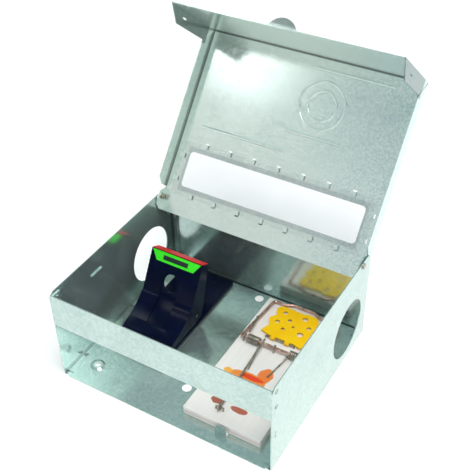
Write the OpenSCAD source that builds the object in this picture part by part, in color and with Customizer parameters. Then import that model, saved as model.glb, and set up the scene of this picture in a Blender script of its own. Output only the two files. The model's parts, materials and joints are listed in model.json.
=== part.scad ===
// Rodent bait station: a folded steel box with a hinged lid, holding one wooden snap trap
// and one plastic jaw trap. Millimetres, +Z up. The origin is the middle of the box's underside.
// The front of the box faces -Y, and the lid hinges near the rear.

/* [Box] */
// Outside width of the box, along X
box_w = 232; // [226:1:250]
// Outside depth of the box, along Y
box_d = 198; // [194:1:220]
// Height of the side walls
box_h = 106; // [104:1:120]
// Thickness of the sheet steel
sheet_t = 1; // [0.8:0.1:1.2]
// Height of the fixed strip across the top of the front
strip_h = 37; // [30:1:45]
// Radius of the round entrance in each side wall
entrance_r = 31; // [25:1:32]
// Height of the middle of the entrances
entrance_z = 41; // [38:1:44]
// How far the entrances lie behind the middle of the box
entrance_y = 55; // [45:1:60]

/* [Lid] */
// How far the lid stands open, counted from closed
lid_open_angle = 129; // [0:1:129]
// Depth of the lid's front flange
front_flange_h = 92.8; // [80:0.2:95]
// Depth of the lid's side flanges
side_flange_h = 16.7; // [12:0.1:20]
// Width of the window, along X
window_w = 198.6; // [180:0.2:204]
// Length of the window, along the lid
window_l = 37.6; // [30:0.2:42]

/* [Wooden trap] */
// Width of the wooden base
wood_w = 83; // [82:1:86]
// Length of the wooden base
wood_l = 170.4; // [168:0.2:172]
// Thickness of the wooden base
wood_t = 9.4; // [8:0.2:10]
// Radius of the hammer wire
hammer_wire_r = 1.6; // [1.4:0.1:1.7]
// Distance from the hammer's axle to its striking bar
hammer_reach = 62; // [60:1:64]

/* [Jaw trap] */
// Width of the plastic jaw trap
jaw_w = 61; // [58:1:62]
// Thickness of the plastic walls
jaw_wall = 2.6; // [2.2:0.1:3]

/* [Hidden] */
$fn = 48;

// Colours
zinc = [0.78, 0.83, 0.81];
dark_steel = [0.42, 0.40, 0.36];
copper_steel = [0.72, 0.50, 0.45];
clear_plastic = [0.92, 0.94, 0.95, 0.4];
pale_wood = [0.90, 0.85, 0.80];
cheese_yellow = [0.98, 0.78, 0.05];
black_plastic = [0.05, 0.05, 0.10];
label_green = [0.20, 0.90, 0.15];
grip_red = [0.85, 0.08, 0.10];

// Gaps: between bodies that move past each other, and of a shaft in its hole
body_gap = 0.5;
shaft_gap = 0.05;
// A ball at a wire's bend, against the wire
ball_ratio = 1.06;
ball_turn = [17, 31, 11];
thin_ratio = 0.985;

// Box
half_w = box_w / 2;
half_d = box_d / 2;
wall_in = half_w - sheet_t;
lip_inset = 6;
lip_out = 1.4;
front_corner = 5;
strip_z = box_h - 1 - strip_h;
strip_flange = 13;
floor_flange = 8;
rear_flange_top = 80;
rivet_r = 1.6;
rivet_head_r = 2.4;
rivet_y = -half_d + 7.5;
strip_rivet_z = [box_h - 8, box_h - 27];
floor_rivet_y = [-70, 10, 86];
rear_rivet_z = [16, 66];
screw_hole_r = 3.1;
screw_hole_x = 93;
screw_hole_y = 75;
dimple_r = 7.5;
dimple_h = 1.2;
anchor_hole_r = 4.8;
anchor_y = [-56, 88];
lance_w = 12;
lance_x = [-56.5, 1.2];
lance_y = -half_d + 8.5;
stop_tab_x = 57;
stop_tab_y = -half_d + 12.2;
stop_tab_h = 12;
ledge_z = 83;
ledge_y = -33;
ledge_reach = 1.5;
lock_slot_y = -half_d + 6.5;
lock_slot_z = 44;
lock_slot_h = 8;
lock_slot_w = 1.6;

// Lid, drawn closed and then turned about its rivets
pivot_y = half_d - 17;
pivot_z = box_h - 4.5;
lid_z = box_h + 0.3;
lid_in = half_w + 0.6;
lid_out = lid_in + sheet_t;
flange_y = -half_d - body_gap;
shoulder_y = pivot_y - 11;
lid_rear_y = pivot_y + 14.3;
ear_out = wall_in - body_gap;
wing_w = 15.3;
wing_low_cut = 18.2;
mitre_gap = 0.6;
thumb_r = 15.7;
thumb_reach = 9;
window_y = pivot_y - 35.3;
window_r = 4;
sheet_gap = 0.15;
window_sheet_t = 0.8;
window_sheet_w = 216;
window_sheet_l = 57.2;
clip_w = 4.2;
clip_reach = 4;
clip_count = 7;
clip_pitch = 27.8;
bead_r = 1.9;
bead_rise = 0.8;
ring_x = 24;
ring_y = pivot_y - 135;
ring_radii = [24, 15];
// Straight beads in the lid: middle along X, distance in front of the hinge, length
straight_beads = [[-48, 82, 96], [48, 170, 84], [24, 103, 60]];

// Wooden trap
wood_x = 55;
wood_front = -half_d + 15.6;
wood_z = sheet_t;
wood_top = wood_z + wood_t;
axle_y = 20;
axle_z = wood_top + 4.7;
bar_z = wood_top + hammer_wire_r + 0.4;
hammer_half = 37;
hammer_rear_half = 33;
bar_half = 12;
bar_bulge = 4;
staple_wire_r = 0.8;
staple_x = 34;
staple_depth = 6;
coil_start = 15.5;
coil_end = 31.5;
coil_wire_r = 0.8;
coil_r = 3.6;
lock_x = 46;
lock_y = -70;
lock_z = wood_top + 4.2;
lock_bar_r = 1.1;
lock_ring_r = 2.7;
lock_ring_wire_r = 1;
lock_tip = [42.5, 23, wood_top + 8.2];
pedal_y = 33;
pedal_z = wood_top + 2.4;
pedal_t = 1.6;
pedal_wire_r = 0.8;
knuckle_r = 1.9;
knuckle_w = 5;
knuckle_x = [-9, 7];

// Jaw trap
jaw_x = -66;
jaw_half = jaw_w / 2;
jaw_base_t = 4;
jaw_base_top = sheet_t + jaw_base_t;
jaw_front = -45;
jaw_rear = 94;
jaw_pin_y = 20;
jaw_pin_z = 16;
jaw_pin_r = 1.8;
cheek_t = 2.6;
handle_foot = [12.2, 33.1];
handle_top = [35, 73];
handle_lean = atan2(handle_top[0] - handle_foot[0], handle_top[1] - handle_foot[1]);
handle_len = norm(handle_top - handle_foot);
handle_depth = 12;
handle_hole_r = 9.5;
handle_hole_up = 16;
channel_half = 10;
sweep_front = [jaw_front, 11.5];
sweep_bend = [-26, 14];
rib_y = [-26, -32, -38];
rib_r = 1.1;
label_h = 10.5;
label_t = 0.5;
grip_t = 0.8;
trigger_pin_y = 4;
trigger_pin_z = 8.6;
trigger_pin_r = 1;
trigger_half = 15;
cup_r = 7;
cup_y = -11;
cup_h = 2.6;

// ---------------------------------------------------------------- helpers

// A round rod between two points
module rod(from, to, r) {
    along = to - from;
    length = norm(along);
    translate(from)
        rotate([0, acos(along[2] / length), atan2(along[1], along[0])])
            cylinder(r = r, h = length);
}

// A run of rods through a list of points, with a ball a hair larger than the wire at each bend.
// Every other rod is a hair thinner, so no two meet edge on edge, and the balls are turned
// so that their poles don't fall on a rod's end.
module wire(points, r) {
    last = len(points) - 1;
    for (i = [0 : last - 1]) rod(points[i], points[i + 1], i % 2 == 0 ? r : r * thin_ratio);
    for (i = [1 : last - 1]) translate(points[i]) rotate(ball_turn) sphere(r = r * ball_ratio);
}

// A cylinder along X, centred on x
module x_cylinder(r, length, x, y, z) {
    translate([x - length / 2, y, z]) rotate([0, 90, 0]) cylinder(r = r, h = length);
}

// A flat plate between two x values, with its outline drawn in Y and Z
module yz_plate(x0, x1, outline) {
    translate([x0, 0, 0])
        rotate([90, 0, 90])
            linear_extrude(height = x1 - x0)
                polygon(outline);
}

// A rectangle with round corners, from exact arcs
module round_rect(w, l, r) {
    square([w - 2 * r, l], center = true);
    square([w, l - 2 * r], center = true);
    for (x = [-1, 1], y = [-1, 1]) translate([x * (w / 2 - r), y * (l / 2 - r)]) circle(r = r);
}

// A wire staple over a bar along X: two legs into the wood and a round arch
module bar_staple(x, y, z, inner_r) {
    mid_r = inner_r + staple_wire_r;
    translate([x, y, z])
        rotate([90, 0, 90])
            rotate_extrude(angle = 180)
                translate([mid_r, 0]) circle(r = staple_wire_r);
    for (side = [-1, 1])
        translate([x, y + side * mid_r, wood_top - staple_depth])
            cylinder(r = staple_wire_r, h = z - wood_top + staple_depth);
}

// ---------------------------------------------------------------- box

module floor_holes() {
    for (x = [-1, 1], y = [-1, 1])
        translate([x * screw_hole_x, y * screw_hole_y, -1])
            cylinder(r = screw_hole_r, h = sheet_t + dimple_h + 2);
    for (y = anchor_y) translate([0, y, -1]) cylinder(r = anchor_hole_r, h = sheet_t + 2);
    for (x = [-1, 1], y = floor_rivet_y)
        translate([x * (wall_in - floor_flange / 2), y, -1]) cylinder(r = rivet_r, h = sheet_t + 2);
    // The opening that the stop tab was bent out of, behind it
    translate([stop_tab_x - lance_w / 2, stop_tab_y, -1])
        cube([lance_w, stop_tab_h - sheet_t, sheet_t + 2]);
}

// A raised ring around the one screw hole that no trap covers, pressed up from the floor
module dimple(x, y) {
    translate([x, y, sheet_t])
        cylinder(r1 = dimple_r, r2 = dimple_r - 2 * dimple_h, h = dimple_h);
}

// The tab that keeps the wooden trap in place
module stop_tab() {
    straight = stop_tab_h - lance_w / 2;
    translate([stop_tab_x, stop_tab_y, 0])
        rotate([90, 0, 0])
            linear_extrude(height = sheet_t) {
                translate([-lance_w / 2, 0]) square([lance_w, straight]);
                translate([0, straight]) circle(r = lance_w / 2);
            }
}

// A tab that is cut but still flat: it stands proud by a hair
module flat_lance(x) {
    translate([x - lance_w / 2, lance_y, sheet_t]) cube([lance_w, 1.2, 0.6]);
}

module base_tray() {
    color(zinc) {
        difference() {
            union() {
                translate([-wall_in, -half_d, 0]) cube([2 * wall_in, box_d, sheet_t]);
                translate([-half_w + lip_inset, -half_d - lip_out, 0])
                    cube([box_w - 2 * lip_inset, lip_out, sheet_t]);
                translate([-wall_in, half_d - sheet_t, 0]) cube([2 * wall_in, sheet_t, box_h - 1]);
                dimple(-screw_hole_x, -screw_hole_y);
            }
            floor_holes();
            for (x = [-1, 1], z = rear_rivet_z)
                translate([x * (wall_in - floor_flange / 2), half_d + 1, z])
                    rotate([90, 0, 0]) cylinder(r = rivet_r, h = 4);
        }
        stop_tab();
        for (x = lance_x) flat_lance(x);
    }
}

// The outline of a side wall, in Y and Z
function wall_outline() = [
    [-half_d, 0], [half_d, 0], [half_d, box_h - 2], [half_d - 2, box_h],
    [-half_d + front_corner, box_h], [-half_d, box_h - front_corner]
];

// The left side wall, with flanges folded inwards at the floor and at the rear
module left_wall_shape() {
    difference() {
        union() {
            yz_plate(-half_w, -wall_in, wall_outline());
            translate([-wall_in, -half_d + 4, sheet_t])
                cube([floor_flange, box_d - 8, sheet_t]);
            translate([-wall_in, half_d - 2 * sheet_t, 2 * sheet_t])
                cube([floor_flange, sheet_t, rear_flange_top]);
            translate([-wall_in - sheet_t / 2, ledge_y - 8, ledge_z])
                cube([ledge_reach + sheet_t / 2, 16, sheet_t]);
        }
        x_cylinder(entrance_r, 6, -half_w, entrance_y, entrance_z);
        x_cylinder(rivet_r + shaft_gap, 6, -half_w, pivot_y, pivot_z);
        for (z = strip_rivet_z) x_cylinder(rivet_r, 6, -half_w, rivet_y, z);
        for (y = floor_rivet_y)
            translate([-wall_in + floor_flange / 2, y, 0]) cylinder(r = rivet_r, h = 4);
        for (z = rear_rivet_z)
            translate([-wall_in + floor_flange / 2, half_d + 1, z])
                rotate([90, 0, 0]) cylinder(r = rivet_r, h = 5);
        translate([-half_w - 2, lock_slot_y - lock_slot_w / 2, lock_slot_z - lock_slot_h / 2])
            cube([6, lock_slot_w, lock_slot_h]);
    }
}

module side_wall_left() {
    color(zinc) left_wall_shape();
}

module side_wall_right() {
    color(zinc) mirror([1, 0, 0]) left_wall_shape();
}

// The fixed strip across the front, with a rolled lower edge and an end flange at each side
module front_strip() {
    color(zinc)
        difference() {
            union() {
                translate([-wall_in, -half_d, strip_z]) cube([2 * wall_in, sheet_t, strip_h]);
                x_cylinder(1.1, 2 * wall_in - 6, 0, -half_d + 1.1, strip_z);
                for (x = [-wall_in, wall_in - sheet_t])
                    translate([x, -half_d, strip_z + 1]) cube([sheet_t, strip_flange, strip_h - 4]);
            }
            for (x = [-1, 1], z = strip_rivet_z) x_cylinder(rivet_r, 6, x * wall_in, rivet_y, z);
        }
}

// A rivet that is flush on the outside and headed on the inside, drawn along +Z
module flush_rivet(grip) {
    translate([0, 0, -0.25]) cylinder(r = rivet_head_r, h = 0.25);
    cylinder(r = rivet_r, h = grip);
    translate([0, 0, grip]) cylinder(r1 = rivet_head_r, r2 = rivet_head_r - 0.8, h = 0.9);
}

// A rivet for the floor: its lower end stays a hair above the underside
module floor_rivet(grip) {
    translate([0, 0, 0.1]) cylinder(r = rivet_r, h = grip - 0.1);
    translate([0, 0, grip]) cylinder(r1 = rivet_head_r, r2 = rivet_head_r - 0.8, h = 0.9);
}

module wall_rivets() {
    color(zinc)
        for (side = [0, 1]) mirror([side, 0, 0]) {
            for (z = strip_rivet_z)
                translate([-half_w, rivet_y, z]) rotate([0, 90, 0]) flush_rivet(2 * sheet_t);
            for (y = floor_rivet_y)
                translate([-wall_in + floor_flange / 2, y, 0]) floor_rivet(2 * sheet_t);
            for (z = rear_rivet_z)
                translate([-wall_in + floor_flange / 2, half_d, z])
                    rotate([90, 0, 0]) flush_rivet(2 * sheet_t);
        }
}

// The two rivets that the lid turns on
module hinge_rivets() {
    ear_in = ear_out - sheet_t;
    color(dark_steel)
        for (side = [0, 1]) mirror([side, 0, 0]) {
            x_cylinder(3, 1.2, half_w + 0.6, pivot_y, pivot_z);
            x_cylinder(rivet_r, half_w - ear_in + 1, (half_w + ear_in) / 2, pivot_y, pivot_z);
            x_cylinder(3, 1.2, ear_in - 0.9, pivot_y, pivot_z);
        }
}

// ---------------------------------------------------------------- lid

// Turns what is drawn closed to where the open lid holds it
module lid_place() {
    translate([0, pivot_y, pivot_z])
        rotate([-lid_open_angle, 0, 0])
            translate([0, -pivot_y, -pivot_z])
                children();
}

// The panel's outline in plan: wide over the walls, narrow between them behind the shoulders
module lid_plan() {
    polygon([
        [-lid_out, flange_y - sheet_t], [lid_out, flange_y - sheet_t],
        [lid_out, shoulder_y], [ear_out, shoulder_y], [ear_out, lid_rear_y],
        [-ear_out, lid_rear_y], [-ear_out, shoulder_y], [-lid_out, shoulder_y]
    ]);
}

module side_flange() {
    yz_plate(lid_in, lid_out, [
        [flange_y + mitre_gap, lid_z + sheet_t / 2],
        [flange_y + wing_w + mitre_gap, lid_z - side_flange_h],
        [shoulder_y - 8, lid_z - side_flange_h],
        [shoulder_y - 1, lid_z - side_flange_h / 2],
        [shoulder_y, lid_z + sheet_t / 2]
    ]);
}

// The tab folded back from the end of the front flange
module wing() {
    yz_plate(lid_in, lid_out, [
        [flange_y - sheet_t, lid_z - mitre_gap],
        [flange_y, lid_z - mitre_gap],
        [flange_y + wing_w, lid_z - side_flange_h - mitre_gap],
        [flange_y + wing_w, lid_z - front_flange_h + wing_low_cut],
        [flange_y, lid_z - front_flange_h],
        [flange_y - sheet_t, lid_z - front_flange_h]
    ]);
}

// The ear that the hinge rivet goes through
module ear() {
    yz_plate(ear_out - sheet_t, ear_out, [
        [shoulder_y + 1, lid_z + sheet_t / 2], [shoulder_y + 4, pivot_z - 4],
        [pivot_y - 3, pivot_z - 7.5], [pivot_y + 4, pivot_z - 8.5],
        [pivot_y + 10, pivot_z - 6], [lid_rear_y, lid_z - 4], [lid_rear_y, lid_z + sheet_t / 2]
    ]);
}

module thumb_tab() {
    intersection() {
        translate([0, flange_y - sheet_t + thumb_r - thumb_reach, lid_z - front_flange_h])
            cylinder(r = thumb_r, h = sheet_t);
        translate([-thumb_r, flange_y - sheet_t / 2 - 30, lid_z - front_flange_h - 1])
            cube([2 * thumb_r, 30, sheet_t + 2]);
    }
}

// Where the clips for the window sheet are: x, y and the way each one faces
function clip_places() = concat(
    [for (i = [0 : clip_count - 1], side = [-1, 1])
        [(i - (clip_count - 1) / 2) * clip_pitch, window_y + side * window_sheet_l / 2, side * 90]],
    [for (side = [-1, 1], y = [-12.5, 12.5])
        [side * window_sheet_w / 2, window_y + y, side > 0 ? 0 : 180]]
);

// One clip bent out of the panel: a stem beside the sheet's edge and a lip under it
module clip() {
    translate([sheet_gap, -clip_w / 2, lid_z - 1.7]) cube([0.8, clip_w, 1.9]);
    translate([sheet_gap - clip_reach, -clip_w / 2, lid_z - 1.7]) cube([clip_reach + 0.8, clip_w, 0.6]);
}

// The slot that a clip is bent out of
module clip_slot() {
    translate([sheet_gap + 0.8, -clip_w / 2, lid_z - 1]) cube([1.2, clip_w, sheet_t + 2]);
}

// Stiffening beads, pressed into the panel so that they stand proud of its inner face
module beads() {
    sink = bead_r - bead_rise;
    for (r = ring_radii)
        translate([ring_x, ring_y, lid_z + sink])
            rotate_extrude() translate([r, 0]) circle(r = bead_r);
    for (b = straight_beads)
        rod([b[0] - b[2] / 2, pivot_y - b[1], lid_z + sink],
            [b[0] + b[2] / 2, pivot_y - b[1], lid_z + sink], bead_r);
}

module lid_panel() {
    color(zinc)
        lid_place() {
            difference() {
                union() {
                    translate([0, 0, lid_z]) linear_extrude(height = sheet_t) lid_plan();
                    translate([-lid_out, flange_y - sheet_t, lid_z - front_flange_h])
                        cube([2 * lid_out, sheet_t, front_flange_h + sheet_t / 2]);
                    for (side = [0, 1]) mirror([side, 0, 0]) {
                        side_flange();
                        wing();
                        ear();
                    }
                    thumb_tab();
                    // Beads end level with the panel's upper face
                    intersection() {
                        beads();
                        translate([-lid_in, flange_y, lid_z - 5]) cube([2 * lid_in, box_d, 5 + sheet_t]);
                    }
                }
                translate([0, window_y, lid_z - 1])
                    linear_extrude(height = sheet_t + 2) round_rect(window_w, window_l, window_r);
                for (p = clip_places()) translate([p[0], p[1], 0]) rotate(p[2]) clip_slot();
                x_cylinder(rivet_r + shaft_gap, 2 * box_w, 0, pivot_y, pivot_z);
                translate([-box_w, lock_slot_y - lock_slot_w / 2, lock_slot_z - lock_slot_h / 2])
                    cube([2 * box_w, lock_slot_w, lock_slot_h]);
            }
            for (p = clip_places()) translate([p[0], p[1], 0]) rotate(p[2]) clip();
        }
}

module window_sheet() {
    color(clear_plastic)
        lid_place()
            translate([0, window_y, lid_z - sheet_gap - window_sheet_t])
                linear_extrude(height = window_sheet_t)
                    round_rect(window_sheet_w, window_sheet_l, 2);
}

// ---------------------------------------------------------------- wooden snap trap

module trap_base() {
    color(pale_wood)
        translate([wood_x, wood_front + wood_l / 2, wood_z])
            linear_extrude(height = wood_t) round_rect(wood_w, wood_l, 1.5);
}

// The striking loop: an axle, two side wires that close in, and a bar with a bulge in the middle
module hammer() {
    rear_y = axle_y + hammer_reach;
    color(copper_steel) {
        x_cylinder(hammer_wire_r, 2 * hammer_half + 2, wood_x, axle_y, axle_z);
        wire([
            [wood_x - hammer_half, axle_y, axle_z],
            [wood_x - hammer_rear_half, rear_y, bar_z],
            [wood_x - bar_half - 7, rear_y, bar_z],
            [wood_x - bar_half, rear_y + bar_bulge, bar_z],
            [wood_x + bar_half, rear_y + bar_bulge, bar_z],
            [wood_x + bar_half + 7, rear_y, bar_z],
            [wood_x + hammer_rear_half, rear_y, bar_z],
            [wood_x + hammer_half, axle_y, axle_z]
        ], hammer_wire_r);
    }
}

module hammer_staples() {
    color(dark_steel)
        for (x = [-staple_x, 0, staple_x])
            bar_staple(wood_x + x, axle_y, axle_z, hammer_wire_r + shaft_gap);
}

// One torsion spring: its coil around the axle and its leg along the wood, on the +X side
module spring_shape() {
    leg_z = wood_top + coil_wire_r + 0.1;
    color(dark_steel) {
        difference() {
            x_cylinder(coil_r + coil_wire_r, coil_end - coil_start,
                (coil_start + coil_end) / 2, axle_y, axle_z);
            x_cylinder(coil_r - coil_wire_r, coil_end, (coil_start + coil_end) / 2, axle_y, axle_z);
        }
        wire([
            [coil_start + 1, axle_y - coil_r, axle_z - 0.3],
            [coil_start - 1, axle_y - 10, leg_z],
            [coil_start - 5, axle_y - 34, leg_z]
        ], coil_wire_r);
    }
}

module spring_left() {
    translate([wood_x, 0, 0]) mirror([1, 0, 0]) spring_shape();
}

module spring_right() {
    translate([wood_x, 0, 0]) spring_shape();
}

// The outer ends of both springs, which hook over the hammer's side wires
module spring_hooks() {
    reach = 30;
    wire_x = hammer_half - (hammer_half - hammer_rear_half) * reach / hammer_reach;
    wire_z = axle_z - (axle_z - bar_z) * reach / hammer_reach;
    from = [coil_end - 0.6, axle_y + 4.8, axle_z + 3.6];
    bend = [wire_x - 0.4, axle_y + reach, wire_z + hammer_wire_r + 0.6];
    tip = [wire_x + 2.2, axle_y + reach + 1.2, wire_z + 0.2];
    hook_overrun = 0.7;
    tip_ratio = 0.94;
    color(dark_steel)
        translate([wood_x, 0, 0])
            for (side = [0, 1]) mirror([side, 0, 0]) {
                rod(from, bend + hook_overrun * (bend - from) / norm(bend - from), coil_wire_r);
                rod(bend, tip, coil_wire_r * tip_ratio);
            }
}

// The bar that holds the set hammer down, with a ring at its front end
module lock_bar() {
    color(dark_steel) {
        translate([lock_x, lock_y, lock_z])
            rotate([0, 90, 0])
                rotate_extrude() translate([lock_ring_r, 0]) circle(r = lock_ring_wire_r);
        wire([
            [lock_x, lock_y + lock_ring_r + 0.3, lock_z],
            [lock_x - 1, lock_y + 25, lock_z],
            lock_tip
        ], lock_bar_r);
    }
}

module lock_staple() {
    half = 4;
    color(dark_steel) {
        rod([lock_x - half, lock_y, lock_z], [lock_x + half, lock_y, lock_z], staple_wire_r);
        for (side = [-1, 1])
            translate([lock_x + side * half, lock_y, wood_top - staple_depth])
                cylinder(r = staple_wire_r, h = lock_z - wood_top + staple_depth);
    }
}

// The bait pedal: a wedge of make-believe cheese, wide at the rear, with holes and round bites
module pedal_plan() {
    rear = 46;
    difference() {
        union() {
            polygon([[-25, 4], [-14, 1], [14, 1], [21, -1.5], [25, 3], [24, 12], [26, 22],
                [25, rear - 10], [19, rear - 1], [7, rear], [0, rear - 2], [-16, rear - 1],
                [-24, rear - 5], [-21, 30], [-26, 23], [-21, 14]]);
            translate([19, 10]) circle(r = 6);
            translate([-18, rear - 8]) circle(r = 6.5);
        }
        for (p = [[-14, 37, 2.6], [-5, 29, 2.2], [8, 38, 3], [17, 28, 2.4], [13, 16, 3.4],
                [-16, 22, 2.4], [-6, 15, 2], [2, 22, 1.7]])
            translate([p[0], p[1]]) circle(r = p[2]);
        for (p = [[3, rear + 3, 5], [29, rear - 19, 5]])
            translate([p[0], p[1]]) circle(r = p[2]);
    }
}

module bait_pedal() {
    color(cheese_yellow)
        difference() {
            union() {
                translate([wood_x, pedal_y + 1, pedal_z - pedal_t / 2])
                    linear_extrude(height = pedal_t) pedal_plan();
                for (x = knuckle_x) {
                    x_cylinder(knuckle_r, knuckle_w, wood_x + x, pedal_y, pedal_z);
                    translate([wood_x + x - knuckle_w / 2, pedal_y, pedal_z - pedal_t / 2])
                        cube([knuckle_w, 4, pedal_t]);
                }
            }
            x_cylinder(pedal_wire_r + shaft_gap, 60, wood_x, pedal_y, pedal_z);
        }
}

// The wire that the pedal turns on, with both ends driven into the wood
module pedal_wire() {
    ends = [-17, 15];
    color(dark_steel) {
        rod([wood_x + ends[0], pedal_y, pedal_z], [wood_x + ends[1], pedal_y, pedal_z], pedal_wire_r);
        for (x = ends)
            translate([wood_x + x, pedal_y, wood_top - staple_depth])
                cylinder(r = pedal_wire_r, h = pedal_z - wood_top + staple_depth);
    }
}

// ---------------------------------------------------------------- plastic jaw trap

// The lower jaw: a flat sole, a tooth rail at the front and two cheeks for the pins
module jaw_base() {
    cheek_x = jaw_half - jaw_wall - body_gap - cheek_t;
    color(black_plastic)
        translate([jaw_x, 0, 0])
            difference() {
                union() {
                    translate([0, (jaw_front + jaw_rear) / 2, sheet_t])
                        linear_extrude(height = jaw_base_t)
                            round_rect(jaw_w, jaw_rear - jaw_front, 1.5);
                    for (side = [0, 1]) mirror([side, 0, 0])
                        yz_plate(cheek_x, cheek_x + cheek_t, [
                            [jaw_pin_y - 22, jaw_base_top - 1], [jaw_pin_y + 12, jaw_base_top - 1],
                            [jaw_pin_y + 5, jaw_pin_z + 4], [jaw_pin_y - 5, jaw_pin_z + 4],
                            [jaw_pin_y - 18, trigger_pin_z + 3]
                        ]);
                }
                x_cylinder(jaw_pin_r, 80, 0, jaw_pin_y, jaw_pin_z);
                x_cylinder(trigger_pin_r, 80, 0, trigger_pin_y, trigger_pin_z);
            }
}

// The side view of the upper jaw and its handle, in Y and Z
function lever_outline() = [
    handle_top,
    handle_top + [handle_depth * cos(handle_lean), -handle_depth * sin(handle_lean)],
    [35, 31], [31, 17], [27, 9.5], [20, 7.5], [-30, 7.5], [jaw_front, 8.5],
    sweep_front, sweep_bend, [-13, 17.5], [-2.6, 22.5], [6, 28.5], [9.5, 32.4],
    handle_foot
];

// The space inside the upper jaw: open below and behind
function lever_hollow() = [
    handle_top + [jaw_wall - 0.6, -jaw_wall - 1],
    handle_top + [30, -12],
    [60, 20], [31, 0], [jaw_front + 3, 0],
    [jaw_front + 3, 9.4], sweep_bend - [0, jaw_wall], [-13, 17.5 - jaw_wall],
    [-1, 22.5 - jaw_wall], [8, 28.5 - jaw_wall], [12.4, 31.5 - jaw_wall / 2], handle_foot + [3, -1]
];

// The height of the sweep's skin in front of its bend
function sweep_z(y) = sweep_front[1] + (y - sweep_front[0])
    * (sweep_bend[1] - sweep_front[1]) / (sweep_bend[0] - sweep_front[0]);

// The upper jaw with its upright handle, in one moulding
module jaw_lever() {
    color(black_plastic)
        translate([jaw_x, 0, 0])
            difference() {
                union() {
                    yz_plate(-jaw_half, jaw_half, lever_outline());
                    // Ribs across the front of the sweep
                    for (y = rib_y) x_cylinder(rib_r, jaw_w - 6, 0, y, sweep_z(y));
                }
                yz_plate(-jaw_half + jaw_wall, jaw_half - jaw_wall, lever_hollow());
                // The finger hole through the handle
                translate([0, handle_foot[0], handle_foot[1]])
                    rotate([-handle_lean, 0, 0])
                        translate([0, -8, handle_hole_up])
                            rotate([-90, 0, 0]) cylinder(r = handle_hole_r, h = 30);
                // The channel that runs from the hole down the sweep
                yz_plate(-channel_half, channel_half, [
                    [-20, 30], [-14, 15.7], [-2.6, 20.7], [6, 26.7], [10.5, 30.4],
                    handle_foot + [1.5, 0], handle_foot + [6.6, 10], [4, 46]
                ]);
                x_cylinder(jaw_pin_r + shaft_gap, 80, 0, jaw_pin_y, jaw_pin_z);
            }
}

// Places what lies on the handle: x across it, y out of its back, z up it
module on_handle() {
    translate([jaw_x, handle_foot[0], handle_foot[1]])
        rotate([-handle_lean, 0, 0])
            children();
}

// A plain coloured panel on the front of the handle
module jaw_label() {
    top = handle_len - 0.6;
    color(label_green)
        on_handle()
            rotate([90, 0, 0])
                linear_extrude(height = label_t)
                    polygon([[-jaw_half + 1.5, top], [jaw_half - 1.5, top],
                        [jaw_half - 8.5, top - label_h], [-jaw_half + 8.5, top - label_h]]);
}

// The coloured pad on top of the handle
module jaw_grip() {
    color(grip_red)
        on_handle()
            translate([-jaw_half + 0.5, 0.4, handle_len])
                cube([jaw_w - 1, handle_depth - 0.8, grip_t]);
}

module jaw_pin() {
    color(dark_steel) x_cylinder(jaw_pin_r, jaw_w - 0.4, jaw_x, jaw_pin_y, jaw_pin_z);
}

// The spring that snaps the jaws shut: a coil around the pin and a leg on the sole
module jaw_spring() {
    coil_half = 10;
    color(dark_steel) {
        difference() {
            x_cylinder(5.2, 2 * coil_half, jaw_x, jaw_pin_y, jaw_pin_z);
            x_cylinder(3, 3 * coil_half, jaw_x, jaw_pin_y, jaw_pin_z);
        }
        wire([
            [jaw_x + coil_half - 1, jaw_pin_y, jaw_pin_z - 4],
            [jaw_x + coil_half - 1, jaw_pin_y + 12, jaw_base_top + 1.1],
            [jaw_x + coil_half - 1, jaw_pin_y + 38, jaw_base_top + 1.1]
        ], 1.1);
    }
}

// The treadle that the animal trips, with a fork behind that holds the jaws open
module jaw_trigger() {
    color(grip_red)
        translate([jaw_x, 0, 0])
            difference() {
                union() {
                    translate([-trigger_half, -32, trigger_pin_z - 1]) cube([2 * trigger_half, 34, 2]);
                    x_cylinder(2.2, 2 * trigger_half, 0, trigger_pin_y, trigger_pin_z);
                    translate([-6, 2, trigger_pin_z - 1]) cube([12, 2, 2]);
                }
                x_cylinder(trigger_pin_r + shaft_gap, 80, 0, trigger_pin_y, trigger_pin_z);
            }
}

module trigger_pin() {
    cheek_out = jaw_half - jaw_wall - body_gap;
    color(dark_steel) x_cylinder(trigger_pin_r, 2 * cheek_out, jaw_x, trigger_pin_y, trigger_pin_z);
}

// The cup for the bait, on the treadle
module bait_cup() {
    color(cheese_yellow)
        translate([jaw_x, cup_y, trigger_pin_z + 1])
            difference() {
                cylinder(r = cup_r, h = cup_h);
                translate([0, 0, 1]) cylinder(r = cup_r - 1.2, h = cup_h);
            }
}

base_tray();
side_wall_left();
side_wall_right();
front_strip();
wall_rivets();
hinge_rivets();
lid_panel();
window_sheet();
trap_base();
hammer();
hammer_staples();
spring_left();
spring_right();
spring_hooks();
lock_bar();
lock_staple();
bait_pedal();
pedal_wire();
jaw_base();
jaw_lever();
jaw_label();
jaw_grip();
jaw_pin();
jaw_spring();
jaw_trigger();
trigger_pin();
bait_cup();
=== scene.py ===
# %% [markdown]
# # A rodent bait station
#
# A folded steel box with a hinged lid, a wooden snap trap and a plastic jaw trap. The CAD model
# gives every piece its true shape and place. This file gives it its looks, and it remakes the few
# pieces whose CAD solids are plain, such as the wire springs.

# %% Load the frame
import json
import math

import bmesh
import bpy
from mathutils import Matrix, Vector


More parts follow.
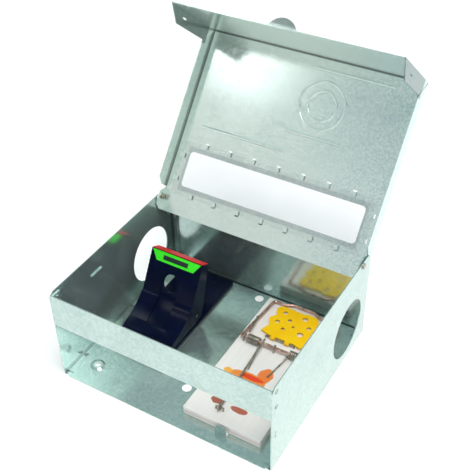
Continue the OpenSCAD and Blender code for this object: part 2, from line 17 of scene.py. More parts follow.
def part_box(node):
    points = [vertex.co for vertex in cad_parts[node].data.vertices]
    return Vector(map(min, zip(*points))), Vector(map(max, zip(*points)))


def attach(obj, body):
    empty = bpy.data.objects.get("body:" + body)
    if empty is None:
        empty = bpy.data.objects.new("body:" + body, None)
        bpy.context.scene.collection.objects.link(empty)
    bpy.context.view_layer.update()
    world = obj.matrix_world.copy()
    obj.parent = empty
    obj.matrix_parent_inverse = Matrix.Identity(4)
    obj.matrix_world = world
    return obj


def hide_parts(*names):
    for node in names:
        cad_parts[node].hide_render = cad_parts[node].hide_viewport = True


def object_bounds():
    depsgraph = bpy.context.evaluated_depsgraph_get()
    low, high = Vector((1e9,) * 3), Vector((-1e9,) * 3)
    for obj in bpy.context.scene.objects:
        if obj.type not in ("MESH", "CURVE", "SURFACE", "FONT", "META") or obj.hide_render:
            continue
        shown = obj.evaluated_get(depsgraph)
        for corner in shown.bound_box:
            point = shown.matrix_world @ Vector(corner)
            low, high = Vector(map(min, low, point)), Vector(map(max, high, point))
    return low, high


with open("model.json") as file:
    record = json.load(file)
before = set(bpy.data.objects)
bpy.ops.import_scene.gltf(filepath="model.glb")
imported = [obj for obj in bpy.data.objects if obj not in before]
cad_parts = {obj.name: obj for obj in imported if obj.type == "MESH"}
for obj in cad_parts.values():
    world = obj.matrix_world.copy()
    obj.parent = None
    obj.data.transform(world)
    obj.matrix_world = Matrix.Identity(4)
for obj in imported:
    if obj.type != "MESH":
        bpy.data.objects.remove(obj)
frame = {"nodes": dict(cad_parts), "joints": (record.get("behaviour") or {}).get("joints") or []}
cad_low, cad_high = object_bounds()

MM = 0.001
print("CAD box:", [round(v, 3) for v in cad_low], [round(v, 3) for v in cad_high])

# %% [markdown]
# ## Where things turn
#
# The record of the CAD model says where each joint is. Reading the hinges from there keeps the
# wires below on the same centres as the solids that they stand for, and it gives the lid's painted
# shade the line that the lid turns about.

# %% Read the hinges
joint_at = {j["name"]: Vector(j["pos_m"]) for j in frame["joints"]}
hammer_hinge = joint_at["hammer_hinge"]
jaw_hinge = joint_at["jaw_hinge"]
lid_hinge = joint_at["lid_hinge"]
print("hinges:", {name: tuple(round(v, 4) for v in at) for name, at in joint_at.items()})

# %% [markdown]
# ## Helpers for materials
#
# A finish is a small tree of nodes. Each helper adds one node, wires it up and hands back the
# socket that the next one reads, so a recipe reads like a sentence. All patterns start from Object
# coordinates, which are metres here, so a scale of 300 means grains about 3 mm across.


# %% Start a material
def start_material(name, metallic=0.0, roughness=0.5):
    material = bpy.data.materials.new(name)
    material.use_nodes = True
    shader = material.node_tree.nodes["Principled BSDF"]
    shader.inputs["Metallic"].default_value = metallic
    shader.inputs["Roughness"].default_value = roughness
    return material, shader


def add_node(material, kind, **settings):
    node = material.node_tree.nodes.new(kind)
    for key, value in settings.items():
        setattr(node, key, value)
    return node


def feed(material, socket, value):
    if isinstance(value, bpy.types.NodeSocket):
        material.node_tree.links.new(value, socket)
    elif isinstance(value, tuple) and len(value) == 3 and socket.type == "RGBA":
        socket.default_value = (*value, 1.0)
    else:
        socket.default_value = value


# %% One helper for each kind of node
def object_place(material, scale=(1, 1, 1), offset=(0, 0, 0)):
    place = add_node(material, "ShaderNodeTexCoord")
    mapping = add_node(material, "ShaderNodeMapping")
    feed(material, mapping.inputs["Vector"], place.outputs["Object"])
    mapping.inputs["Scale"].default_value = scale
    mapping.inputs["Location"].default_value = offset
    return mapping.outputs["Vector"]


def noise(material, place, scale, detail=2.0, distortion=0.0):
    node = add_node(material, "ShaderNodeTexNoise")
    feed(material, node.inputs["Vector"], place)
    node.inputs["Scale"].default_value = scale
    node.inputs["Detail"].default_value = detail
    node.inputs["Distortion"].default_value = distortion
    return node.outputs["Fac"]


def grains(material, place, scale):
    node = add_node(material, "ShaderNodeTexVoronoi")
    feed(material, node.inputs["Vector"], place)
    node.inputs["Scale"].default_value = scale
    split = add_node(material, "ShaderNodeSeparateColor")
    feed(material, split.inputs["Color"], node.outputs["Color"])
    return split.outputs["Red"]


def maths(material, operation, first, second=0.0):
    node = add_node(material, "ShaderNodeMath", operation=operation)
    feed(material, node.inputs[0], first)
    feed(material, node.inputs[1], second)
    return node.outputs["Value"]


def blend_sum(material, *parts):
    total = None
    for socket, share in parts:
        scaled = maths(material, "MULTIPLY", socket, share)
        total = scaled if total is None else maths(material, "ADD", total, scaled)
    return total


def stretch(material, value, low, high, to_low=0.0, to_high=1.0):
    node = add_node(material, "ShaderNodeMapRange")
    feed(material, node.inputs["Value"], value)
    node.inputs["From Min"].default_value = low
    node.inputs["From Max"].default_value = high
    node.inputs["To Min"].default_value = to_low
    node.inputs["To Max"].default_value = to_high
    return node.outputs["Result"]


def mix(material, share, first, second):
    node = add_node(material, "ShaderNodeMix", data_type="RGBA")
    feed(material, node.inputs["Factor"], share)
    colours = [socket for socket in node.inputs if socket.type == "RGBA"]
    feed(material, colours[0], first)
    feed(material, colours[1], second)
    return [socket for socket in node.outputs if socket.type == "RGBA"][0]


def away_from(material, value, middle):
    return maths(material, "ABSOLUTE", maths(material, "SUBTRACT", value, middle))


def bump(material, height, strength, distance, under=None):
    node = add_node(material, "ShaderNodeBump")
    feed(material, node.inputs["Height"], height)
    node.inputs["Strength"].default_value = strength
    node.inputs["Distance"].default_value = distance
    if under is not None:
        feed(material, node.inputs["Normal"], under)
    return node.outputs["Normal"]


def axis_of(material, place, axis):
    split = add_node(material, "ShaderNodeSeparateXYZ")
    feed(material, split.inputs["Vector"], place)
    return split.outputs[axis]


# %% [markdown]
# ## Zinc-coated steel
#
# Hot-dipped zinc freezes into flat crystals, the spangle, so the sheet looks mottled. A Voronoi
# texture gives one random value per crystal, which sets tone and roughness. It is kept out of the
# bump: its values jump at each crystal's edge, and a bump turns every jump into a groove. The bump
# comes from smooth noise alone, for the orange-peel skin and the gentle waves of folded sheet. Zinc
# soon grows a thin dull oxide, so the surface is a little less than fully metallic.


# %% Zinc sheet
def bent_place(material, place):
    warp = add_node(material, "ShaderNodeTexNoise")
    feed(material, warp.inputs["Vector"], place)
    warp.inputs["Scale"].default_value = 90.0
    bent = add_node(material, "ShaderNodeVectorMath", operation="MULTIPLY_ADD")
    feed(material, bent.inputs[0], warp.outputs["Color"])
    bent.inputs[1].default_value = (6 * MM, 6 * MM, 6 * MM)
    feed(material, bent.inputs[2], place)
    return bent.outputs["Vector"]


def zinc_sheet(
    name, dark, light, rough_low, rough_high, metallic,
    skin_depth=0.045, painted_shade_of=None, blue_reflection_side=False,
):
    material, shader = start_material(name, metallic=metallic)
    place = object_place(material)
    crystal_place = bent_place(material, place)
    crystal = grains(material, crystal_place, 380.0)
    small_crystal = grains(material, crystal_place, 800.0)
    cloud = noise(material, place, 22.0, detail=3.0)
    speck = noise(material, place, 700.0, detail=2.0)
    tone = blend_sum(material, (crystal, 0.22), (small_crystal, 0.13), (cloud, 0.45), (speck, 0.2))
    colour = mix(material, stretch(material, tone, 0.28, 0.72), dark, light)
    # Painted reflection: on the lid's right side, some small crystals are tinted blue, standing in for
    # the bluish glitter that they mirror.
    if blue_reflection_side:
        to_right = stretch(material, axis_of(material, place, "X"), 20 * MM, 105 * MM)
        flake = stretch(material, small_crystal, 0.3, 0.8)
        blue = maths(material, "MULTIPLY", maths(material, "MULTIPLY", to_right, flake), 0.6)
        colour = mix(material, blue, colour, (0.42, 0.61, 0.66))
    # Painted shade: where the given mask is high, the colour is darkened towards near-black teal, in
    # folds, slots and other places where shade falls.
    if painted_shade_of:
        painted_shade = maths(material, "MULTIPLY", painted_shade_of(material, place), 0.8)
        colour = mix(material, painted_shade, colour, (0.05, 0.075, 0.08))
    feed(material, shader.inputs["Base Color"], colour)
    dullness = blend_sum(material, (crystal, 0.3), (cloud, 0.5), (speck, 0.2))
    rough = stretch(material, dullness, 0.25, 0.75, rough_low, rough_high)
    feed(material, shader.inputs["Roughness"], rough)
    skin = bump(material, noise(material, place, 260.0, detail=2.0), skin_depth, 0.2 * MM)
    wave = noise(material, place, 9.0, detail=1.0)
    feed(material, shader.inputs["Normal"], bump(material, wave, 0.3, 2.0 * MM, under=skin))
    return material


# %% [markdown]
# ## Painted shade in the folds
#
# The inside of every fold and the slot behind each bent-out clip are painted darker, as painted
# shade. The thumb tab and the wings, where they slide down the side walls, are painted dark too, as
# painted shade. A fold is a straight line, so its painted shade is the distance from that line. Every
# other mark is a region, given by a few limits that all have to hold.


# %% Masks for lines and regions
def line_shade(material, first, first_at, second, second_at, width):
    gap = add_node(material, "ShaderNodeCombineXYZ")
    feed(material, gap.inputs["X"], maths(material, "SUBTRACT", first, first_at))
    feed(material, gap.inputs["Y"], maths(material, "SUBTRACT", second, second_at))
    length = add_node(material, "ShaderNodeVectorMath", operation="LENGTH")
    feed(material, length.inputs[0], gap.outputs["Vector"])
    return stretch(material, length.outputs["Value"], width, width * 0.4)


def region(material, *limits):
    """Each limit is a value, where the mark begins and where it is full."""
    mark = None
    for value, begins, full in limits:
        share = stretch(material, value, begins, full)
        mark = share if mark is None else maths(material, "MULTIPLY", mark, share)
    return mark


def darkest(material, first, *others):
    for other in others:
        first = maths(material, "MAXIMUM", first, other)
    return first


# %% [markdown]
# ## The lid's own frame
#
# The open lid leans back, so its panel follows neither Y nor Z. Three measures follow it: how far
# across from the middle, how far out from the hinge, and how deep behind the hinge. The last two
# are dot products with a direction.


# %% Measures on the open lid
def along(material, place, origin, direction):
    moved = add_node(material, "ShaderNodeVectorMath", operation="SUBTRACT")
    feed(material, moved.inputs[0], place)
    moved.inputs[1].default_value = origin
    dot = add_node(material, "ShaderNodeVectorMath", operation="DOT_PRODUCT")
    feed(material, dot.inputs[0], moved.outputs["Vector"])
    dot.inputs[1].default_value = direction
    return dot.outputs["Value"]


box_low, box_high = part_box("base_tray")
BOX_HALF = (box_high[0] - box_low[0]) / 2
SHEET = 1 * MM
LID_OPEN = math.radians(129)
LID_INNER = BOX_HALF + 0.6 * MM
PANEL_DEPTH = 4.8 * MM
PANEL_REACH = 181.3 * MM
CLIPS_REACH = 75 * MM
CLIPS_HALF = 112 * MM
CLIP_LIP = 3.12 * MM
WING_REACH = 163 * MM
print("half the box's width:", round(BOX_HALF, 4))


# %% Painted shade on the lid
def lid_painted_shade(material, place):
    outward = (0, -math.cos(LID_OPEN), math.sin(LID_OPEN))
    behind = (0, math.sin(LID_OPEN), math.cos(LID_OPEN))
    across = maths(material, "ABSOLUTE", axis_of(material, place, "X"))
    reach = along(material, place, lid_hinge, outward)
    depth = along(material, place, lid_hinge, behind)
    # Painted shade: dark lines along the inside of the front and side folds, and dark regions under the
    # clip lips, on the thumb tab and on the wings.
    front_fold = line_shade(material, reach, PANEL_REACH, depth, PANEL_DEPTH, 1.5 * MM)
    side_fold = line_shade(material, across, LID_INNER, depth, PANEL_DEPTH, 1.3 * MM)
    clips = region(
        material,
        (depth, PANEL_DEPTH - 0.1 * MM, PANEL_DEPTH - 0.3 * MM),
        (depth, CLIP_LIP, CLIP_LIP + 0.1 * MM),
        (reach, CLIPS_REACH + 1 * MM, CLIPS_REACH),
        (across, CLIPS_HALF + 1 * MM, CLIPS_HALF),
    )
    thumb_tab = region(material, (reach, PANEL_REACH + 1.2 * MM, PANEL_REACH + 4.5 * MM))
    wings = region(
        material,
        (across, LID_INNER + 0.6 * MM, LID_INNER + 0.8 * MM),
        (reach, WING_REACH, WING_REACH + 1 * MM),
        (depth, -5 * MM, -7 * MM),
    )
    regions = maths(material, "MULTIPLY", darkest(material, clips, thumb_tab, wings), 0.8)
    return darkest(material, front_fold, side_fold, regions)


# %% Painted shade in the box
def box_painted_shade(material, place):
    across = maths(material, "ABSOLUTE", axis_of(material, place, "X"))
    back = axis_of(material, place, "Y")
    height = axis_of(material, place, "Z")
    wall = BOX_HALF - SHEET
    rear = box_high[1] - SHEET
    # Painted shade: dark lines where the side walls meet the rear wall and the floor, and where the rear
    # wall meets the floor.
    rear_corner = line_shade(material, across, wall, back, rear, 2 * MM)
    floor_side = line_shade(material, across, wall, height, SHEET, 1.6 * MM)
    floor_rear = line_shade(material, back, rear, height, SHEET, 2 * MM)
    return darkest(material, rear_corner, floor_side, floor_rear)


# %% The zinc finishes
zinc_box = zinc_sheet(
    "zinc_box", dark=(0.44, 0.57, 0.54), light=(0.63, 0.745, 0.71),
    rough_low=0.12, rough_high=0.22, metallic=0.82, painted_shade_of=box_painted_shade,
)
# Painted light: the lid and the box are one zinc, but the lid is given much lighter tones than the box,
# standing in for the brighter light that the open lid mirrors.
zinc_lid = zinc_sheet(
    "zinc_lid", dark=(0.70, 0.82, 0.77), light=(0.81, 0.91, 0.865),
    rough_low=0.15, rough_high=0.26, metallic=0.85,
    skin_depth=0.015, painted_shade_of=lid_painted_shade, blue_reflection_side=True,
)
# Painted shade: the rivets are given dark tones, standing in for the shade in the small dimples where
# they join the sheets.
zinc_rivet = zinc_sheet(
    "zinc_rivet", dark=(0.22, 0.27, 0.26), light=(0.45, 0.52, 0.50),
    rough_low=0.2, rough_high=0.35, metallic=0.9,
)
print("zinc finishes:", zinc_box.name, zinc_lid.name)

# %% [markdown]
# ## Wire
#
# Drawn wire is bright, but tarnish leaves patches and handling leaves fine streaks. Noise that is
# drawn out from front to back is enough for the streaks, because the wires are under 4 mm thick.
# The striking loop is washed with copper, which is darker where it has tarnished.


# %% Wire finishes
def drawn_wire(name, dark, light, rough_low, rough_high):
    material, shader = start_material(name, metallic=1.0)
    place = object_place(material)
    patch = noise(material, place, 140.0, detail=4.0)
    streak = noise(material, object_place(material, scale=(3, 1, 3)), 500.0, detail=2.0)
    tone = stretch(material, blend_sum(material, (patch, 0.6), (streak, 0.4)), 0.35, 0.65)
    feed(material, shader.inputs["Base Color"], mix(material, tone, dark, light))
    feed(material, shader.inputs["Roughness"], stretch(material, patch, 0.3, 0.7, rough_low, rough_high))
    feed(material, shader.inputs["Normal"], bump(material, streak, 0.2, 0.1 * MM))
    return material


bare_wire = drawn_wire(
    "bare_wire", dark=(0.20, 0.18, 0.15), light=(0.55, 0.50, 0.43), rough_low=0.25, rough_high=0.45,
)
copper_wire = drawn_wire(
    "copper_wire", dark=(0.50, 0.27, 0.21), light=(0.93, 0.62, 0.54), rough_low=0.22, rough_high=0.4,
)
print("wire finishes:", bare_wire.name, copper_wire.name)

# %% [markdown]
# ## Printed softwood
#
# The base is a planed, bleached softwood. Its long grain is fine noise that is drawn out along the
# board. Colour patches stand in for the print, as plain soft shapes with no lettering: an ellipse
# is a distance that has been scaled on each axis, and noise roughens its rim. A faint red line runs
# round the board's edge, halfway up.


# %% Printed wood
def patch_mask(material, centre, half_size, raggedness):
    scale = (1 / half_size[0], 1 / half_size[1], 0)
    offset = (-centre[0] / half_size[0], -centre[1] / half_size[1], 0)
    place = object_place(material, scale=scale, offset=offset)
    length = add_node(material, "ShaderNodeVectorMath", operation="LENGTH")
    feed(material, length.inputs[0], place)
    rim = noise(material, object_place(material), 260.0, detail=3.0)
    ragged = blend_sum(material, (length.outputs["Value"], 1.0), (rim, raggedness))
    edge = 1.0 + raggedness / 2
    return stretch(material, ragged, edge + 0.06, edge - 0.06)


def printed_wood(name):
    low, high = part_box("trap_base")
    material, shader = start_material(name)
    grain_place = object_place(material, scale=(1, 0.05, 1))
    grain = noise(material, grain_place, 420.0, detail=5.0, distortion=0.6)
    fibre = noise(material, object_place(material, scale=(1, 0.03, 1)), 1500.0, detail=2.0)
    wood = mix(material, stretch(material, grain, 0.35, 0.7), (0.86, 0.81, 0.785), (0.895, 0.86, 0.845))
    height = axis_of(material, object_place(material), "Z")
    on_top = stretch(material, height, high[2] - 0.9 * MM, high[2] - 0.5 * MM)
    for centre, half_size, raggedness, colour in (
        ((0.049, -0.0245), (0.0195, 0.0078), 0.3, (0.90, 0.24, 0.005)),
        ((0.063, -0.013), (0.0075, 0.0095), 0.6, (0.90, 0.20, 0.005)),
        ((0.053, -0.0215), (0.0125, 0.0028), 0.7, (0.88, 0.045, 0.005)),
        ((0.0275, -0.0235), (0.0045, 0.0035), 0.6, (0.93, 0.42, 0.03)),
        ((0.0375, -0.061), (0.006, 0.0045), 0.5, (0.36, 0.075, 0.03)),
        ((0.062, -0.062), (0.009, 0.0035), 0.5, (0.44, 0.09, 0.035)),
    ):
        share = maths(material, "MULTIPLY", patch_mask(material, centre, half_size, raggedness), on_top)
        wood = mix(material, maths(material, "MULTIPLY", share, 0.95), wood, colour)
    from_middle = away_from(material, height, (low[2] + high[2]) / 2)
    line = stretch(material, from_middle, 0.9 * MM, 0.4 * MM, 0.0, 0.55)
    feed(material, shader.inputs["Base Color"], mix(material, line, wood, (0.78, 0.36, 0.33)))
    feed(material, shader.inputs["Roughness"], stretch(material, grain, 0.3, 0.7, 0.5, 0.72))
    rough_grain = blend_sum(material, (grain, 0.7), (fibre, 0.3))
    feed(material, shader.inputs["Normal"], bump(material, rough_grain, 0.35, 0.25 * MM))
    return material


pale_wood = printed_wood("printed_softwood")
print("wood finish:", pale_wood.name)

# %% [markdown]
# ## Moulded plastics
#
# A moulded part is not perfectly even: the tool leaves a fine texture and handling leaves faint
# marks. One recipe, given two tones, two roughnesses and a gloss, serves all of them.


# %% Plastic finishes
def moulded(name, dark, light, rough_low, rough_high, gloss=0.5):
    material, shader = start_material(name)
    place = object_place(material)
    cloud = noise(material, place, 60.0, detail=4.0)
    texture = noise(material, place, 1400.0, detail=2.0)
    scuff = noise(material, object_place(material, scale=(1, 0.2, 1)), 320.0, detail=3.0)
    tone = stretch(material, cloud, 0.3, 0.7)
    feed(material, shader.inputs["Base Color"], mix(material, tone, dark, light))
    shine = blend_sum(material, (cloud, 0.4), (scuff, 0.6))
    feed(material, shader.inputs["Roughness"], stretch(material, shine, 0.3, 0.7, rough_low, rough_high))
    feed(material, shader.inputs["Normal"], bump(material, texture, 0.25, 0.08 * MM))
    shader.inputs["Specular IOR Level"].default_value = gloss
    return material


black_plastic = moulded(
    "black_plastic", dark=(0.0002, 0.001, 0.014), light=(0.0006, 0.0025, 0.022),
    rough_low=0.13, rough_high=0.24, gloss=0.15,
)
cheese_plastic = moulded(
    "cheese_plastic", dark=(1.0, 0.56, 0.001), light=(1.0, 0.63, 0.003),
    rough_low=0.32, rough_high=0.46, gloss=0.3,
)
red_plastic = moulded(
    "red_plastic", dark=(0.60, 0.008, 0.012), light=(0.75, 0.02, 0.025), rough_low=0.3, rough_high=0.45,
)
print("plastics:", [m.name for m in (black_plastic, cheese_plastic, red_plastic)])

# %% [markdown]
# ## The label and the window
#
# The label is a plain printed panel: a bright field with one dark bar in its middle. The window is
# a stiff clear sheet. Light passes through it, and a faint smoky haze over the open part is what
# makes it readable as a sheet at all. Its rim lies on bare metal and is kept free of the haze: painted
# light, which lightens the band where the sheet shades the metal under it.


# %% Label and clear sheet
BAR_HALF_WIDTH = 15 * MM
BAR_HALF_HEIGHT = 2.3 * MM
RIM_AT_ENDS = 5 * MM
RIM_AT_SIDES = 3.4 * MM


def printed_label(name):
    low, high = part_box("jaw_label")
    material, shader = start_material(name)
    place = object_place(material)
    across = axis_of(material, place, "X")
    up = axis_of(material, place, "Z")
    from_middle = away_from(material, across, (low[0] + high[0]) / 2)
    from_centre = away_from(material, up, (low[2] + high[2]) / 2)
    bar_wide = stretch(material, from_middle, BAR_HALF_WIDTH, BAR_HALF_WIDTH - 0.4 * MM)
    bar_high = stretch(material, from_centre, BAR_HALF_HEIGHT, BAR_HALF_HEIGHT - 0.3 * MM)
    bar = maths(material, "MULTIPLY", bar_wide, bar_high)
    print_grain = noise(material, place, 700.0, detail=3.0)
    tone = stretch(material, print_grain, 0.3, 0.7)
    green = mix(material, tone, (0.035, 0.78, 0.010), (0.06, 0.92, 0.015))
    feed(material, shader.inputs["Base Color"], mix(material, bar, green, (0.01, 0.015, 0.02)))
    feed(material, shader.inputs["Roughness"], stretch(material, print_grain, 0.3, 0.7, 0.32, 0.48))
    feed(material, shader.inputs["Normal"], bump(material, print_grain, 0.1, 0.05 * MM))
    return material


def clear_sheet(name):
    low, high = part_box("window_sheet")
    material, shader = start_material(name)
    place = object_place(material)
    scratch = noise(material, object_place(material, scale=(0.15, 1, 1)), 900.0, detail=3.0)
    across = maths(material, "ABSOLUTE", axis_of(material, place, "X"))
    middle = (low[2] + high[2]) / 2
    height = away_from(material, axis_of(material, place, "Z"), middle)
    half_width = high[0] - RIM_AT_ENDS
    half_height = high[2] - middle - RIM_AT_SIDES
    open_part = region(
        material,
        (across, half_width, half_width - 2 * MM),
        (height, half_height, half_height - 1.2 * MM),
    )
    haze = stretch(material, noise(material, place, 30.0, detail=3.0), 0.3, 0.7)
    smoky = mix(material, haze, (0.86, 0.86, 0.875), (0.89, 0.89, 0.905))
    # Painted light: the rim is left fully clear, which lightens the band where the sheet shades the
    # metal under it.
    feed(material, shader.inputs["Base Color"], mix(material, open_part, (1.0, 1.0, 1.0), smoky))
    shader.inputs["Transmission Weight"].default_value = 1.0
    shader.inputs["IOR"].default_value = 1.25
    feed(material, shader.inputs["Roughness"], stretch(material, scratch, 0.3, 0.7, 0.0, 0.05))
    return material


label_print = printed_label("label_print")
clear_plastic = clear_sheet("clear_plastic")
print("label and window:", label_print.name, clear_plastic.name)

# %% [markdown]
# ## Finish the CAD pieces
#
# A CAD piece whose shape is right keeps its mesh and only gets a finish. The table below says
# which finish each one takes.

# %% Give each CAD node its finish
finish_of = {
    zinc_box: ["base_tray", "side_wall_left", "side_wall_right", "front_strip"],
    zinc_rivet: ["wall_rivets"],
    zinc_lid: ["lid_panel"],
    bare_wire: [
        "hinge_rivets", "hammer_staples", "spring_left", "spring_right", "spring_hooks",
        "lock_bar", "lock_staple", "pedal_wire", "jaw_pin", "jaw_spring", "trigger_pin",
    ],
    copper_wire: ["hammer"],
    clear_plastic: ["window_sheet"],
    pale_wood: ["trap_base"],
    cheese_plastic: ["bait_pedal", "bait_cup"],
    black_plastic: ["jaw_base", "jaw_lever"],
    label_print: ["jaw_label"],
    red_plastic: ["jaw_grip", "jaw_trigger"],
}
for material, nodes in finish_of.items():
    for node in nodes:
        mesh = frame["nodes"][node].data
        mesh.materials.clear()
        mesh.materials.append(material)
print("finished nodes:", sum(len(nodes) for nodes in finish_of.values()))

# %% [markdown]
# ## Soft-edged copies
#
# A CAD edge is perfectly sharp, and no moulded or planed edge is. A copy of the CAD mesh is merged
# into one skin, its flat faces are joined, and a Bevel modifier rounds every edge that turns more
# than 35 degrees. That catches the thin line of light that makes a piece look real.


# %% Copy a node with rounded edges
def new_piece(name, mesh, material, body, slot, *stands_for):
    piece = bpy.data.objects.new(name, mesh)
    bpy.context.scene.collection.objects.link(piece)
    mesh.materials.clear()
    mesh.materials.append(material)
    mesh.shade_smooth()
    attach(piece, body)
    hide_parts(*stands_for)
    return piece


def soften(node, name, material, body, slot, width, segments=2):
    bm = bmesh.new()
    bm.from_mesh(frame["nodes"][node].data)
    bmesh.ops.remove_doubles(bm, verts=bm.verts, dist=0.002 * MM)
    bmesh.ops.dissolve_limit(bm, angle_limit=math.radians(0.5), verts=bm.verts, edges=bm.edges)
    mesh = bpy.data.meshes.new(name)
    bm.to_mesh(mesh)
    bm.free()
    piece = new_piece(name, mesh, material, body, slot, node)
    mesh.set_sharp_from_angle(angle=math.radians(35))
    bevel = piece.modifiers.new("soft_edges", "BEVEL")
    bevel.width = width
    bevel.segments = segments
    bevel.limit_method = "ANGLE"
    bevel.angle_limit = math.radians(35)
    bevel.harden_normals = True
    print(name, len(mesh.polygons), "faces")


soften("trap_base", "wood_base", pale_wood, "box", "pale_wood", 0.7 * MM)
soften("jaw_grip", "grip_pad", red_plastic, "jaw", "red_plastic", 0.25 * MM)
soften("bait_pedal", "cheese_pedal", cheese_plastic, "pedal", "yellow_plastic", 0.3 * MM)
soften("jaw_lever", "upper_jaw", black_plastic, "jaw", "black_plastic", 0.35 * MM)
soften("jaw_base", "lower_jaw", black_plastic, "box", "black_plastic", 0.3 * MM)

# %% [markdown]
# ## Bending wire
#
# Real wire bends round a former, so its corners are arcs. A route is a short list of corners; each
# corner is replaced by a small curve, and a round section is swept along the result. A curve object
# with a bevel depth does the sweep, and the mesh that it makes is kept.


# %% Wire helpers
def rounded(corners, radius, steps=6):
    route = [corners[0]]
    for before, here, after in zip(corners, corners[1:], corners[2:]):
        back = (before - here).normalized() * min(radius, (before - here).length * 0.49)
        ahead = (after - here).normalized() * min(radius, (after - here).length * 0.49)
        for i in range(steps + 1):
            t = i / steps
            route.append(here + back * (1 - t) ** 2 + ahead * t ** 2)
    route.append(corners[-1])
    return route


def wire_mesh(name, routes, radius):
    curve = bpy.data.curves.new(name, "CURVE")
    curve.dimensions = "3D"
    curve.bevel_depth = radius
    curve.bevel_resolution = 4
    curve.use_fill_caps = True
    for route in routes:
        spline = curve.splines.new("POLY")
        spline.points.add(len(route) - 1)
        for point, at in zip(spline.points, route):
            point.co = (*at, 1.0)
    carrier = bpy.data.objects.new(name, curve)
    bpy.context.scene.collection.objects.link(carrier)
    mesh = bpy.data.meshes.new_from_object(carrier.evaluated_get(bpy.context.evaluated_depsgraph_get()))
    bpy.data.objects.remove(carrier)
    bpy.data.curves.remove(curve)
    return mesh


def coil(start_x, end_x, centre, radius, turns, first_angle=0.0, steps=18):
    route = []
    count = int(turns * steps)
    for i in range(count + 1):
        t = i / count
        angle = first_angle + 2 * math.pi * turns * t
        across = start_x + (end_x - start_x) * t
        back = centre.y + radius * math.cos(angle)
        height = centre.z + radius * math.sin(angle)
        route.append(Vector((across, back, height)))
    return route


# %% [markdown]
# ## The striking loop
#
# One copper-washed wire: its axle lies in the staples, the two sides close in a little towards the
# striking bar, and the bar bulges out in its middle.

# %% Hammer
hammer_low, hammer_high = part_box("hammer")
HAMMER_WIRE = 1.6 * MM
axle_half = 37.0 * MM
bar_half_width = 33.0 * MM
bulge_half = 12.0 * MM
bar_y = hammer_high[1] - 4 * MM - HAMMER_WIRE * 1.06
bar_z = hammer_low[2] + HAMMER_WIRE * 1.06
hammer_corners = [
    Vector((-axle_half, hammer_hinge.y, hammer_hinge.z)),
    Vector((-bar_half_width, bar_y, bar_z)),
    Vector((-bulge_half - 7 * MM, bar_y, bar_z)),
    Vector((-bulge_half, bar_y + 4 * MM, bar_z)),
    Vector((bulge_half, bar_y + 4 * MM, bar_z)),
    Vector((bulge_half + 7 * MM, bar_y, bar_z)),
    Vector((bar_half_width, bar_y, bar_z)),
    Vector((axle_half, hammer_hinge.y, hammer_hinge.z)),
]
hammer_middle = Vector((hammer_hinge.x, 0, 0))
loop = rounded([c + hammer_middle for c in hammer_corners], 4 * MM)
axle = [loop[0] - Vector((1.2 * MM, 0, 0)), loop[-1] + Vector((1.2 * MM, 0, 0))]
new_piece(
    "striking_loop", wire_mesh("striking_loop", [loop, axle], HAMMER_WIRE), copper_wire,
    "hammer", "coppered_steel", "hammer",
)
print("striking loop reaches", round(bar_y, 4))

# %% [markdown]
# ## Springs
#
# Each torsion spring is one wire: a leg along the wood, close turns round the axle and a hooked
# end. The turns are a helix from a short formula. The hooked ends move with the loop, so the CAD
# model keeps them apart, and they are left as they are here.

# %% Coils of the wooden trap
SPRING_WIRE = 0.8 * MM
COIL_RADIUS = 3.6 * MM
coil_inner = 15.5 * MM
coil_outer = 31.5 * MM
leg_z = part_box("trap_base")[1][2] + SPRING_WIRE + 0.1 * MM
for side, name in ((-1, "spring_left"), (1, "spring_right")):
    def at(x, y, z):
        return Vector((hammer_hinge.x + side * x, y, z))
    turns = coil(
        hammer_hinge.x + side * (coil_inner + SPRING_WIRE),
        hammer_hinge.x + side * (coil_outer - SPRING_WIRE),
        hammer_hinge, COIL_RADIUS, turns=7.5, first_angle=math.pi,
    )
    leg = [
        at(coil_inner - 5 * MM, hammer_hinge.y - 34 * MM, leg_z),
        at(coil_inner - 1 * MM, hammer_hinge.y - 10 * MM, leg_z),
        turns[0],
    ]
    mesh = wire_mesh(name + "_coil", [rounded(leg, 4 * MM)[:-1] + turns], SPRING_WIRE)
    new_piece(name + "_coil", mesh, bare_wire, "box", "bare_steel", name)
print("coils wound for both sides")

# %% Jaw spring
jaw_low, jaw_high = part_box("jaw_spring")
JAW_WIRE = 1.05 * MM
JAW_COIL_RADIUS = 4.1 * MM
jaw_coil_half = 10 * MM
jaw_turns = coil(
    jaw_hinge.x - jaw_coil_half + JAW_WIRE, jaw_hinge.x + jaw_coil_half - JAW_WIRE,
    jaw_hinge, JAW_COIL_RADIUS, turns=8.75, first_angle=math.pi / 2,
)
jaw_leg = [
    jaw_turns[-1],
    Vector((jaw_turns[-1].x, jaw_hinge.y + 10 * MM, jaw_low[2] + JAW_WIRE)),
    Vector((jaw_turns[-1].x, jaw_high[1], jaw_low[2] + JAW_WIRE)),
]
new_piece(
    "jaw_coil", wire_mesh("jaw_coil", [jaw_turns + rounded(jaw_leg, 3 * MM)[1:]], JAW_WIRE), bare_wire,
    "box", "bare_steel", "jaw_spring",
)
print("jaw coil has", len(jaw_turns), "points")

# %% [markdown]
# ## Floor, light and camera
#
# A wide pale sheet stands in for the table. One large soft light hangs overhead, and one far to the
# right fills the shadow of the open lid. A small one to the front left is there to be mirrored in
# the lid. Metal shows what it mirrors, so the surround matters as much as the lights: white walls
# all round, and a darker ceiling that the box's inside picks up as teal.


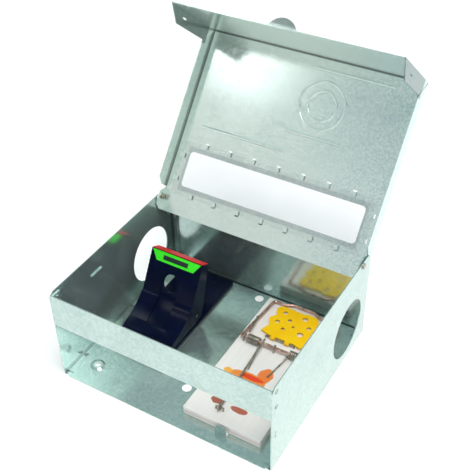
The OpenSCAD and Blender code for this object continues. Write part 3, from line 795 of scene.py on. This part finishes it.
# %% Floor
def pale_floor():
    bm = bmesh.new()
    bmesh.ops.create_grid(bm, x_segments=1, y_segments=1, size=6.0)
    bmesh.ops.translate(bm, verts=bm.verts, vec=(0, 0, cad_low[2] - 0.05 * MM))
    mesh = bpy.data.meshes.new("pale_floor")
    bm.to_mesh(mesh)
    bm.free()
    floor = bpy.data.objects.new("pale_floor", mesh)
    bpy.context.scene.collection.objects.link(floor)
    material, shader = start_material("floor_paper", roughness=0.9)
    shader.inputs["Base Color"].default_value = (0.80, 0.80, 0.80, 1.0)
    shader.inputs["Emission Color"].default_value = (1.0, 1.0, 1.0, 1.0)
    shader.inputs["Emission Strength"].default_value = 0.30
    mesh.materials.append(material)


pale_floor()


# %% Lights
def soft_light(name, at, toward, size, power, colour=(1, 1, 1)):
    data = bpy.data.lights.new(name, "AREA")
    data.shape = "SQUARE"
    data.size = size
    data.energy = power
    data.color = colour
    light = bpy.data.objects.new(name, data)
    bpy.context.scene.collection.objects.link(light)
    light.location = at
    light.rotation_euler = (Vector(toward) - Vector(at)).to_track_quat("-Z", "Y").to_euler()


centre = (cad_low + cad_high) / 2
soft_light(
    "overhead", at=(0.5, -0.3, 2.6), toward=centre, size=1.2, power=42, colour=(1.0, 0.96, 0.92),
)
soft_light("far_right", at=(1.8, 0.9, 1.9), toward=(0.15, 0.4, 0.0), size=1.2, power=14)
soft_light("lid_glint", at=(-1.05, -1.15, 1.675), toward=(-0.07, 0.186, 0.23), size=0.16, power=0.5)


# %% Surround
def studio_surround():
    world = bpy.data.worlds.new("surround")
    world.use_nodes = True
    bpy.context.scene.world = world
    background = world.node_tree.nodes["Background"]
    direction = add_node(world, "ShaderNodeTexCoord").outputs["Generated"]
    height = axis_of(world, direction, "Z")
    ceiling = stretch(world, height, 0.58, 0.9)
    feed(world, background.inputs["Color"], mix(world, ceiling, (0.98, 1.0, 0.99), (0.22, 0.46, 0.49)))
    background.inputs["Strength"].default_value = 0.72


studio_surround()
bpy.context.scene.view_settings.view_transform = "Standard"

# %% [markdown]
# ## Camera
#
# The camera stands about 0.8 m away, to the right of the front and well above the box, and is
# rolled very slightly. Where it looks and what is right of it are given, and the rotation is built
# from those two.

# %% Camera
camera_data = bpy.data.cameras.new("camera")
camera_data.lens = 65.4
camera_data.sensor_width = 36.0
camera = bpy.data.objects.new("camera", camera_data)
bpy.context.scene.collection.objects.link(camera)
forward = Vector((-0.39795, 0.66429, -0.63274)).normalized()
right = Vector((0.86373, 0.50376, -0.01435)).normalized()
up = right.cross(forward)
turn = Matrix((right, up, -forward)).transposed().to_4x4()
camera.matrix_world = Matrix.Translation((0.3283, -0.5044, 0.6403)) @ turn
camera_data.clip_start = 0.05
camera_data.clip_end = 50.0
bpy.context.scene.camera = camera
print("camera distance:", round((camera.location - centre).length, 3))
